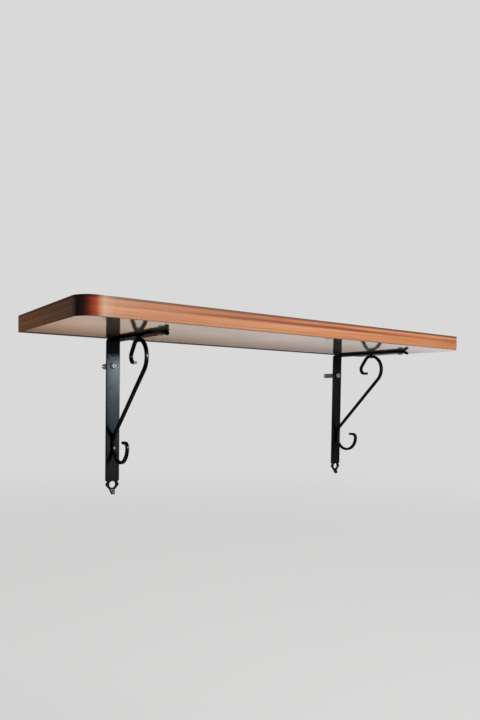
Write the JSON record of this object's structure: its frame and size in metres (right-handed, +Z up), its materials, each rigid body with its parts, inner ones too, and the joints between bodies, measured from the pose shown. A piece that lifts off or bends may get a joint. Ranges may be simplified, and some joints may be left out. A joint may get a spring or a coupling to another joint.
{
  "type": "wall shelf",
  "caption": "Wall shelf: a wood-print laminated board with rounded front corners on black wrought-iron brackets with a scroll brace.",
  "frame": {"origin": "centre of the board's back edge, half way up its thickness, on the plane of the wall", "axes": "+X along the shelf to the viewer's right, +Y into the wall, so the room is on the -Y side, +Z up"},
  "size_m": [0.6, 0.2275, 0.2253],
  "materials": {
    "edge_wood": "orange-brown wood print with a fine lengthwise grain, satin, darker at the rounded corner and along both arrises",
    "top_wood": "wood-print laminate with a lengthwise grain, satin",
    "pale_laminate": "cream melamine backing laminate, glossy enough to mirror the brackets softly",
    "chipboard": "raw sawn particle board, matt, with visible chips",
    "black_iron": "black satin paint on hot-bent flat and square iron, with a faint blue-grey sheen",
    "zinc": "bright zinc-plated steel",
    "pale_nylon": "off-white moulded nylon, matt"
  },
  "bodies": {
    "root": {"board_core": "chipboard", "top_laminate": "top_wood", "bottom_laminate": "pale_laminate", "edge_band": "edge_wood", "left_bar": "black_iron", "left_scroll": "black_iron", "left_leg_rivet": "black_iron", "left_arm_rivet": "black_iron", "left_board_screw": "zinc", "left_wall_screw": "zinc", "left_wall_plug": "pale_nylon", "right_bar": "black_iron", "right_scroll": "black_iron", "right_leg_rivet": "black_iron", "right_arm_rivet": "black_iron", "right_board_screw": "zinc", "right_wall_screw": "zinc", "right_wall_plug": "pale_nylon"}
  },
  "joints": []
}
